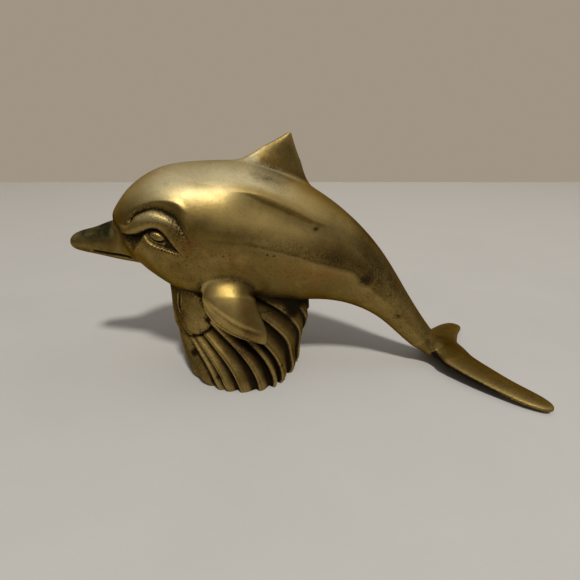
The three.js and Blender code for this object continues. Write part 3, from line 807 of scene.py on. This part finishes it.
class Nodes:
    """Builds the nodes of a material or world; a value is a number, a colour or a node's socket."""

    def __init__(self, owner, shader="Principled BSDF", place="Object"):
        owner.use_nodes = True
        self.owner = owner
        self.tree = owner.node_tree
        self.shader = self.tree.nodes[shader]
        self.place = self.add("ShaderNodeTexCoord").outputs[place]

    def add(self, kind, **inputs):
        node = self.tree.nodes.new(kind)
        for name, value in inputs.items():
            self.put(node, name, value)
        return node

    def put(self, node, name, value):
        """Sets or links an input, given by its name or as i and its number."""
        numbered = name[0] == "i" and name[1:].isdigit()
        target = node.inputs[int(name[1:]) if numbered else name]
        if isinstance(value, bpy.types.NodeSocket):
            self.tree.links.new(value, target)
        else:
            target.default_value = value

    def noise(self, scale, detail, roughness):
        inputs = {"Scale": scale, "Detail": detail, "Roughness": roughness, "Vector": self.place}
        return self.add("ShaderNodeTexNoise", **inputs).outputs["Fac"]

    def attribute(self, name):
        node = self.add("ShaderNodeAttribute")
        node.attribute_name = name
        return node.outputs["Fac"]

    def range(self, value, low, high, to_low=0.0, to_high=1.0):
        node = self.add("ShaderNodeMapRange", i0=value, i1=low, i2=high, i3=to_low, i4=to_high)
        return node.outputs[0]

    def math(self, operation, a, b):
        node = self.add("ShaderNodeMath", i0=a, i1=b)
        node.operation = operation
        return node.outputs[0]

    def mix(self, share, a, b):
        """Colour between a and b, each a socket or a tuple of red, green and blue."""
        node = self.add("ShaderNodeMix")
        node.data_type = "RGBA"
        colours = [(*c, 1) if isinstance(c, tuple) else c for c in (a, b)]
        for name, value in zip(("i0", "i6", "i7"), (share, *colours)):
            self.put(node, name, value)
        return node.outputs[2]

    def bump(self, height, distance, strength, below=None):
        node = self.add("ShaderNodeBump", Strength=strength, Distance=distance, Height=height)
        if below is not None:
            self.put(node, "Normal", below)
        return node.outputs[0]

    def finish(self, **inputs):
        """Sets the shader's inputs, with spaces in their names as underscores."""
        for name, value in inputs.items():
            self.put(self.shader, name.replace("_", " "), value)
        return self.owner


def times(colour, factor):
    return tuple(c * factor for c in colour)


# Colours of the brass, its soiling and painted shade; the last is the tint of what it mirrors at a
# glancing angle
PALE = (0.79, 0.67, 0.39)
GOLD = (0.64, 0.46, 0.165)
TARNISH = (0.176, 0.117, 0.030)
COPPER = (0.22, 0.095, 0.024)
BROWN = (0.05, 0.03, 0.009)
BLACK = (0.015, 0.010, 0.005)
GREEN = (0.020, 0.021, 0.009)
BRASS_GLANCE = (0.36, 0.31, 0.23, 1)


def aged_brass(name, rough):
    """Cast brass: pale where it stands out, partly polished metal and partly painted sheen, darker
    lower down, partly tarnished metal and partly painted shade, and dark in what lies deep.
    """
    n = Nodes(bpy.data.materials.new(name))
    coarse, pale = n.attribute("rough"), n.attribute("pale")
    cloud = n.noise(42, 5, 0.6)
    blotch = n.noise(150, 6, 0.7)
    grain = n.noise(2600, 2, 0.6)
    speck = n.noise(1400, 3, 0.7)
    # Polished metal under uneven tarnishing and painted shade, with bright edges
    tone = n.mix(pale, GOLD, PALE)
    tone = n.mix(n.range(blotch, 0.3, 0.7, 0.16, 0), tone, TARNISH)
    tarnish_and_shade_mix = n.math("ADD", n.attribute("tarnish_and_shade"), n.range(cloud, 0.3, 0.7, -0.22, 0.22))
    tarnish_and_shade_mix = n.math("ADD", tarnish_and_shade_mix, n.range(blotch, 0.3, 0.7, -0.16, 0.16))
    old = n.mix(n.range(n.noise(70, 4, 0.6), 0.5, 0.72, 0, 0.75), TARNISH, COPPER)
    tone = n.mix(n.range(tarnish_and_shade_mix, 0, 1), tone, old)
    tone = n.mix(n.range(n.attribute("edge"), 0, 1, 0, 0.6), tone, GOLD)
    # Brown specks, and soiling and painted shade that break up at their borders
    spots = n.math("MULTIPLY", n.range(speck, 0.54, 0.66), n.range(coarse, 0, 1, 0.12, 0.95))
    tone = n.mix(n.math("MULTIPLY", spots, 0.8), tone, BROWN)
    soil_and_shade = n.math("MULTIPLY", n.attribute("dirt_and_shade"), n.range(blotch, 0.25, 0.6, 0.7, 1.2))
    mottled = n.math("MULTIPLY", n.range(speck, 0.38, 0.62, 0.5, -0.45), n.range(soil_and_shade, 0.05, 0.5))
    soil_and_shade = n.math("SUBTRACT", soil_and_shade, n.math("MULTIPLY", mottled, coarse))
    deep = n.range(soil_and_shade, 0.1, 0.9)
    tone = n.mix(deep, tone, BROWN)
    tone = n.mix(n.range(soil_and_shade, 0.8, 1.5), tone, BLACK)
    # Dull green patina
    greens = n.math("MULTIPLY", n.attribute("patina"), n.range(blotch, 0.3, 0.55, 0.7, 1))
    tone = n.mix(greens, tone, n.mix(n.range(speck, 0.56, 0.7), GREEN, times(GREEN, 2.6)))
    dull = n.math("MAXIMUM", deep, n.math("MAXIMUM", greens, n.math("MULTIPLY", spots, 0.6)))
    dust = n.math("MULTIPLY", pale, n.range(speck, 0.35, 0.6, 0.24, 0.1))
    satin = n.range(n.noise(240, 4, 0.6), 0.3, 0.7, rough - 0.03, rough + 0.05)
    pits = n.bump(n.math("MULTIPLY", speck, n.range(coarse, 0, 1, 0.15, 1)), 0.00022, 0.6)
    return n.finish(
        Base_Color=tone,
        Specular_Tint=BRASS_GLANCE,
        Metallic=n.math("SUBTRACT", n.range(dull, 0.3, 1, 1, 0.75), dust),
        Roughness=n.math("ADD", satin, n.math("MULTIPLY", dull, 0.2)),
        Normal=n.bump(grain, 0.00005, 0.5, pits),
    )


def turned_metal(name, colour, rough):
    """Plain turned or rolled metal with fine streaks and a little soiling."""
    n = Nodes(bpy.data.materials.new(name))
    streak = n.noise(700, 3, 0.7)
    soil = n.noise(160, 5, 0.6)
    return n.finish(
        Base_Color=n.mix(n.range(soil, 0.35, 0.7), colour, times(colour, 0.6)),
        Metallic=1.0,
        Roughness=n.range(streak, 0.3, 0.7, rough - 0.06, rough + 0.1),
        Normal=n.bump(streak, 0.00003, 0.4),
    )


# Places and shares that the colour layers of the casting use
u, v = points[:, 0] - EYE[0], points[:, 2] - EYE[1]
facing_up = normal[:, 2]
left_side = points[:, 1] < 0
groove, groove_along = near_line(BROW_GROOVE, u, v)
upper, _ = near_line(UPPER_EDGE, u, v)
lower, _ = near_line(LOWER_EDGE, u, v)
bulge, bulge_along = near_line(FLANK_BULGE, u, v)
roll, roll_along = near_line(DORSAL_ROLL, u, v)
rear_share = ramp(x - AXIS_X, -4, 4)
far_lobe = is_fluke * ramp(points[:, 1], 9, 15)

# Soiling and painted shade in what lies deep and over broad hollows
step_share = gauss(lower, 2.5) * ramp(u, 20, 30) * ~is_fin
dirt_and_shade = np.clip(dark, 0, 1.6) + 0.25 * ramp(broad, 0.05, 0.4)
dirt_and_shade += 0.7 * ramp(fine, 0.015, 0.08) * (1 - 0.85 * step_share)
dirt_and_shade += 0.3 * ramp(u, 54, 70) * ramp(u, 122, 112) * ramp(lower, -3, 2)
dirt_and_shade += 0.3 * spot(u - 0.5, v + 0.5, 7) * ramp(v, 4.5, 2) * ~is_beak + 0.13 * is_beak
dirt_and_shade += 0.18 * spot(u - 11, v - 1, 4)
# Painted dark reflection on the front of the head above the eye
dirt_and_shade += 0.22 * ramp(v, 18, 11) * ramp(v, 3, 8) * ramp(u, 6, -4) * ~is_beak
# Patches of painted shade, and where the strength is negative of painted highlight: middle, length and
# height from the eye, slope, strength
for pu, pv, long, tall, slope, strength in (
    (44.5, 19, 7, 2.6, 0.35, 0.3), (42, 24.3, 7, 2.6, 0.35, 0.36), (6, 12.5, 8, 2.2, 0.25, -0.3),
    (11.5, 1.5, 4.5, 1.6, 1.3, 0.3), (21.7, -18.6, 3.5, 2.5, 0, -0.6), (14.5, 10, 5, 4.5, 0.1, 0.2),
    (8, 3.5, 4.5, 3.0, 1.2, 0.36), (-4.6, -0.4, 2.6, 2.6, 0, 0.35),
):
    dirt_and_shade += strength * spot((u - pu) / long, (v - pv + slope * (u - pu)) / tall, 1) * ~is_beak
# Stains and pin holes of the near side: distances from the eye, size and strength
for su, sv, size, strength in (
    (81.7, -19.8, 2.7, 0.85), (61.2, 2.4, 1.1, 0.8), (97.4, -37, 1.6, 0.8), (37.2, -11.1, 1.8, 0.3),
    (57.1, -16.9, 1.8, 0.3), (5.5, 19, 1.6, 0.25), (42.8, -6.5, 0.42, 1.4), (45.3, -7, 0.42, 1.4),
    (26.5, -6.8, 0.42, 1.4),
):
    dirt_and_shade += strength * spot(u - su, (v - sv) * 1.2, size) * left_side
# Painted shade on the rear of the pectoral fins
dirt_and_shade += 0.35 * is_fin * rear_share
dirt_and_shade += 0.4 * is_dorsal * ramp(u - (v - 21) * 0.3, 30, 42) * ramp(v, 42, 32)
# Painted shade on the fluke's faces that turn down, strongest near the tail stock
fluke_underside_shade = ramp(facing_up, 0.8, 0.3) * (0.25 + 0.75 * ramp(u, 142, 126))
dirt_and_shade += is_fluke * (0.12 + 1.3 * fluke_underside_shade)

# Green on top of the beak, and a trace of it on the far lobe of the fluke
patina = (0.15 + 0.85 * ramp(facing_up, -0.25, 0.4)) * is_beak
patina *= ramp(u, -17.5, -22.5) * ramp(u, -41, -35)
patina = np.maximum(patina, 0.12 * far_lobe)

# Coarse grain of the casting, where it wasn't polished
rough = between(groove_along, 0.15, 0.3, 0.8, 0.9) * gauss(groove, 2.4)
rough += gauss(u - 13, 5) * gauss(v + 3, 9) + gauss(u + 11, 5) * gauss(v + 3, 5)
rough += 0.5 * gauss(u - 34, 26) * gauss(v + 9, 6) + 0.3 * ramp(u, 70, 95)
rough += 0.5 * ramp(facing_up, 0.1, -0.5) + 0.12

# Tarnished metal and painted shade on what faces down or sideways, which the ridge along the flank and
# the streak lack, as they are painted highlight
# Painted highlight in a streak along the roll at the dorsal fin's root, on the near side
streak = gauss(roll - 0.1, 0.9) * between(roll_along, 0, 0.15, 0.8, 1) * left_side
tarnish_and_shade = np.max([
    ramp(facing_up, 0.42, 0.02), 0.9 * is_dorsal * ramp(facing_up, 0.7, 0.4), 0.8 * ramp(u, 72, 84),
], 0)
# The pectoral fins are darker low down and towards the rear, painted shade
tarnish_and_shade = np.where(is_fin, np.maximum(0.25 + 0.6 * ramp(z, 37, 28), rear_share), tarnish_and_shade)
tarnish_and_shade = np.max([
    tarnish_and_shade, 0.45 * ramp(u, 0, 34) * ramp(upper, 2, -1), 0.6 * ramp(points[:, 1], 0, 6),
], 0)
# Painted highlight along the bulge of the near flank
tarnish_and_shade -= 0.6 * gauss(bulge, 3.8) * between(bulge_along, 0.22, 0.42, 0.6, 1) * left_side
tarnish_and_shade *= 1 - 0.18 * ramp(u, 34, 8) * ramp(v, 2, -6)
tarnish_and_shade = np.where(is_fluke, 1.0 - 0.4 * far_lobe, tarnish_and_shade)
# Painted highlights at the front of the dorsal fin's root and on the top of the near pectoral fin
for pu, pv, size in ((32, 26.5, 4), (21.7, -18.6, 3.5)):
    tarnish_and_shade -= 0.7 * spot(u - pu, v - pv, size) * left_side
tarnish_and_shade -= 0.8 * streak

# Pale metal on the forehead, the back, the fold over the eye and the dorsal fin: partly polished and
# dusty metal, partly painted sheen, and on the streak painted highlight
fold = ramp(groove, 0.5, -1.5) * ramp(v, 2, 5) * ramp(u, -9, -3) * ramp(u, 12, 6)
pale = np.max([
    ramp(u, 44, 22) * ramp(v, 9, 18) * (0.4 + 0.6 * ramp(u, -8, 4)),
    ramp(upper, 0, 3) * ramp(u, 6, 24) * ramp(u, 60, 36),
    0.6 * fold,
    0.9 * streak,
    is_dorsal * ramp(facing_up, 0.2, 0.6) * ramp(v, 28, 34),
], 0)
body_layers = {
    "dirt_and_shade": dirt_and_shade, "patina": patina, "rough": rough, "tarnish_and_shade": tarnish_and_shade, "pale": pale,
    # Bright edges, partly polished metal and partly painted highlight, most on the fluke
    "edge": np.clip(-fine / np.where(is_fluke, 0.03, 0.05), 0, 1),
}


def cast_piece(name, node, faces, skin, material):
    """A piece made of some faces of a skin, with the skin's own normals, so that no seam shows."""
    points, normals, layers = skin
    used = np.unique(faces[faces >= 0])
    index = np.full(len(points), -1)
    index[used] = np.arange(len(used))
    rows = [[index[i] for i in f if i >= 0] for f in faces.tolist()]
    mesh = mesh_of(name, points[used] * MM, rows)
    mesh.polygons.foreach_set("use_smooth", np.ones(len(mesh.polygons), bool))
    for layer, values in layers.items():
        put_attribute(mesh, layer, np.clip(values[used], 0, 4))
    mesh.normals_split_custom_set_from_vertices(normals[used].tolist())
    mesh.materials.append(material)
    piece = add_object(name, mesh)
    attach(piece, "root")
    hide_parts(node)


def face_table(mesh):
    """Corners of every face, -1 for the fourth of a triangle; wider faces are cut up."""
    rows = []
    for polygon in mesh.polygons:
        corners = list(polygon.vertices)
        while len(corners) > 4:
            rows.append([corners[0], corners[1], corners[2], -1])
            corners = [corners[0], *corners[2:]]
        rows.append(corners + [-1] * (4 - len(corners)))
    return np.array(rows)


# The skin is cut where the solids meet: mid-plane, end of the tail stock and roots of the flippers
table = face_table(cast)
centre = points[np.where(table >= 0, table, table[:, :1])].mean(1)
part_of_face = part[table[:, 0]]
tail_a, tail_b = BODY_RAILS[0](TAIL_PLACE), BODY_RAILS[1](TAIL_PLACE)
rise = (tail_a - tail_b) / np.linalg.norm(tail_a - tail_b)
ahead = np.array([rise[2], 0, -rise[0]])
behind = (centre - (tail_a + tail_b) / 2) @ ahead > CLEARANCE / 2
fin_left = (part_of_face == codes["left"]) & ~behind
fin_right = (part_of_face == codes["right"]) & ~behind
body = ~behind & ~fin_left & ~fin_right
body_skin = (points, normal, body_layers)
body_brass = aged_brass("aged_brass_cast", 0.34)
for name, node, chosen in (
    ("dolphin_body_left", "body_left_shell", body & (centre[:, 1] <= 0)),
    ("dolphin_body_right", "body_right_shell", body & (centre[:, 1] > 0)),
    ("dolphin_pectoral_left", "pectoral_fin_left", fin_left),
    ("dolphin_pectoral_right", "pectoral_fin_right", fin_right),
    ("dolphin_fluke", "tail_fluke", behind),
):
    cast_piece(name, node, table[chosen], body_skin, body_brass)


def darkened(skin, points, chosen, strength, width):
    """Darkening on the chosen points that lie close to a skin: painted shade in the gaps and under the
    body, with soiling in the crevices.
    """
    reach = 2.5 * width
    found = np.zeros(len(points))
    away = distance_to(skin, points[chosen], reach)
    found[chosen] = np.where(away < reach, strength * gauss(away, width), 0)
    return found


# Base with its ribs and both wave lobes; its radius in millimetres turns degrees into lengths
BASE_RADIUS = 25
base_points, base_faces, base_dark = base_skin()
lobes = joined([lobe_skin(1), lobe_skin(-1)])
all_points, all_faces = joined([(base_points, base_faces), lobes])
base_mesh = mesh_of("wave_base_cast", all_points, all_faces)
angle, z = base_angle(all_points), all_points[:, 2]
is_lobe = np.arange(len(all_points)) >= len(base_points)
curl, curl_along = near_line(LOBE_CURL, angle, z)
curl_live = between(curl_along, 0.05, 0.35, 0.65, 0.95) * is_lobe
curl_step = CURL_DEPTH * gauss(curl, 0.8) - 0.35 * gauss(curl + 2.2, 1.0)
all_points = all_points - (curl_live * curl_step)[:, None] * normals_of(base_mesh)
set_points(base_mesh, all_points)
base_normal = normals_of(base_mesh)
base_fine = hollowness(all_points, base_normal, Neighbours(base_mesh), 5)


def base_spot(at_angle, at_z, size):
    """Soft spot on the base, at an angle and a height."""
    return spot(np.radians(angle - at_angle) * BASE_RADIUS, z - at_z, size)


base_dirt_and_shade = np.concatenate([0.26 + base_dark, np.zeros(is_lobe.sum())])
# Dark in the lobe's curl and in fine hollows: soiling and painted shade
base_dirt_and_shade += 1.3 * curl_live * gauss(curl, 0.9) + 0.6 * np.clip(base_fine / 0.06, 0, 1)
front = (all_points[:, 0] < AXIS_X - 8) & (z > 12)
# Painted shade where the lobes meet the base and under the trunk and the pectoral fins
for skin, chosen, strength, width in (
    (lobes, front & ~is_lobe, 1.1, 0.8),
    ((base_points, base_faces), front & is_lobe, 1.1, 0.8),
    (skins["trunk"], z > 22, 0.9, 2.0),
    (skins["left"], (z > 14) & ~is_lobe, 0.7, 1.6),
    (skins["right"], (z > 14) & ~is_lobe, 0.7, 1.6),
):
    base_dirt_and_shade += darkened(skin, all_points, chosen, strength, width)
# Pin holes of the near side, and painted shade in the hollow under the belly and under the pectoral
# fin's tip: angle and height on the base, size and strength
for at_angle, at_z, size, strength in (
    (44, 13.4, 1.1, 1.5), (70, 6.1, 1.1, 1.5), (140, 31.5, 3.6, 1.9), (95, 19, 4.5, 0.6),
    (112, 28, 2.6, 0.25), (60, 3.5, 0.5, 1.2), (128, 9, 0.6, 1.2),
):
    base_dirt_and_shade += strength * base_spot(at_angle, at_z, size) * (all_points[:, 1] < 0)
# Painted shade on the upper middle of the wave lobes
base_dirt_and_shade += 0.45 * is_lobe * base_spot(30, 32, 6)
# Bright rib crests, partly polished metal and partly painted highlight
base_edge = np.clip(-base_fine / 0.05, 0, 1)
# Painted highlight on the lower part of the wave lobes
lobe_highlight = np.minimum(base_spot(53, 26.5, 4.5) + base_spot(16, 26, 4), 1) * is_lobe
base_layers = {
    "dirt_and_shade": base_dirt_and_shade, "edge": base_edge, "rough": np.where(is_lobe, 0.8, 0.28),
    "tarnish_and_shade": 1.0 - 0.45 * base_edge - 0.75 * lobe_highlight,
    "patina": np.zeros(len(z)), "pale": np.zeros(len(z)),
}
whole_base = (all_points, base_normal, base_layers)
base_brass = aged_brass("dark_brass_cast", 0.5)
cast_piece("wave_base_cast", "wave_base", face_table(base_mesh), whole_base, base_brass)

# Inner pieces keep their CAD solids
for name, finish, colour, rough in (
    ("threaded_boss", "yellow_brass_turned", (0.66, 0.54, 0.24), 0.35),
    ("base_screw", "zinc_screw", (0.6, 0.6, 0.58), 0.38),
    ("screw_washer", "zinc_washer", (0.52, 0.52, 0.5), 0.42),
):
    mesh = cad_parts[name].data
    mesh.materials.clear()
    mesh.materials.append(turned_metal(finish, colour, rough))


# Stage in metres: a table that ends at a wall
STAGE_HALF_WIDTH, TABLE_FRONT, WALL_Y, WALL_HEIGHT = 3, -2, 1.14, 2.5
# The table is painted lighter towards the wall, painted light that evens out the lamp's fall-off
TABLE_NEAR, TABLE_FAR = (0.46, 0.443, 0.413), (0.78, 0.75, 0.70)
WALL_PAINT, WALL_SEEN = (0.42, 0.36, 0.265), (0.352, 0.301, 0.231)


def stage_plane(name, near_edge, far_edge, material):
    """Plane across the stage, between two edges that are given by y and z."""
    half = STAGE_HALF_WIDTH
    corners = [(-half, *near_edge), (half, *near_edge), (half, *far_edge), (-half, *far_edge)]
    mesh = mesh_of(name, corners, [[0, 1, 2, 3]])
    mesh.materials.append(material)
    add_object(name, mesh)


def paint(name, colour, far_colour=None):
    """Slightly uneven paint, which may turn into another colour towards the wall; on the table it turns
    lighter, painted light that evens out the lamp's fall-off.
    """
    n = Nodes(bpy.data.materials.new(name))
    cloud = n.noise(14, 5, 0.6)
    tone = n.mix(n.range(cloud, 0.3, 0.7), times(colour, 0.95), colour)
    if far_colour:
        split = n.add("ShaderNodeSeparateXYZ", Vector=n.place)
        tone = n.mix(n.range(split.outputs["Y"], 0, WALL_Y), tone, far_colour)
    n.finish(Base_Color=tone, Roughness=0.75, Normal=n.bump(n.noise(420, 3, 0.7), 0.0002, 0.25))
    return n


def glowing(n, glow):
    """The paint's material, with a flat colour in its place for cameras and mirrors."""
    rays = n.add("ShaderNodeLightPath").outputs
    seen = n.math("MAXIMUM", rays["Is Camera Ray"], rays["Is Glossy Ray"])
    flat = n.add("ShaderNodeEmission", Color=(*glow, 1), Strength=1.0)
    both = n.add("ShaderNodeMixShader", i0=seen, i1=n.shader.outputs[0], i2=flat.outputs[0])
    n.put(n.tree.nodes["Material Output"], "Surface", both.outputs[0])
    return n.owner


table_paint = paint("table_top_paint", TABLE_NEAR, TABLE_FAR).owner
stage_plane("table_top", (TABLE_FRONT, 0), (WALL_Y, 0), table_paint)
wall_paint = glowing(paint("back_wall_paint", WALL_PAINT), WALL_SEEN)
stage_plane("back_wall", (WALL_Y, -0.01), (WALL_Y, WALL_HEIGHT), wall_paint)


def lamp(name, place, size, power, colour):
    """Square lamp that faces the figurine."""
    data = bpy.data.lights.new(name, "AREA")
    data.size, data.energy, data.color = size, power, colour
    made = add_object(name, data)
    made.location = place
    made.rotation_mode = "QUATERNION"
    made.rotation_quaternion = (LAMP_TARGET - made.location).to_track_quat("-Z", "Y")
    return made


# One lamp gives the shadows, and a small one only the glance on the metal
LAMP_TARGET = Vector((-0.02, 0, 0.03))
shadow_lamp = lamp("shadow_lamp", (0.24, -1.14, 1.43), 0.18, 32.0, (1.0, 0.98, 0.95))
shadow_lamp.visible_glossy = False
sheen_lamp = lamp("sheen_lamp", (-0.24, -0.62, 0.86), 0.28, 2.3, (1.0, 0.93, 0.72))
sheen_lamp.visible_diffuse = False

# Soft light from all round: its colour by height, from the floor to overhead
ROOM_COLOURS = ((0.08, (0.12, 0.10, 0.075)), (0.5, (0.36, 0.355, 0.345)), (1.0, (0.54, 0.54, 0.55)))
world = bpy.data.worlds.new("room")
bpy.context.scene.world = world
room = Nodes(world, "Background", "Generated")
split = room.add("ShaderNodeSeparateXYZ", Vector=room.place)
shade = room.add("ShaderNodeValToRGB", Fac=split.outputs["Z"])
shade.color_ramp.elements.new(0.5)
for element, (position, colour) in zip(shade.color_ramp.elements, ROOM_COLOURS):
    element.position = position
    element.color = (*colour, 1)
# The room is darker to the left of the table
room.finish(Color=shade.outputs[0], Strength=room.range(split.outputs["X"], -0.9, -0.1, 0.5, 1.0))

# Camera of the photograph, in metres and degrees
CAMERA_PLACE, CAMERA_PITCH = (-0.00321, -0.18151, 0.09398), 18
camera_data = bpy.data.cameras.new("camera")
camera_data.lens = 27.0
camera_data.sensor_width = 36.0
camera_data.clip_start = 0.01
camera = add_object("camera", camera_data)
camera.location = CAMERA_PLACE
camera.rotation_euler = (math.radians(90 - CAMERA_PITCH), 0, 0)
bpy.context.scene.camera = camera
bpy.context.scene.view_settings.view_transform = "Standard"
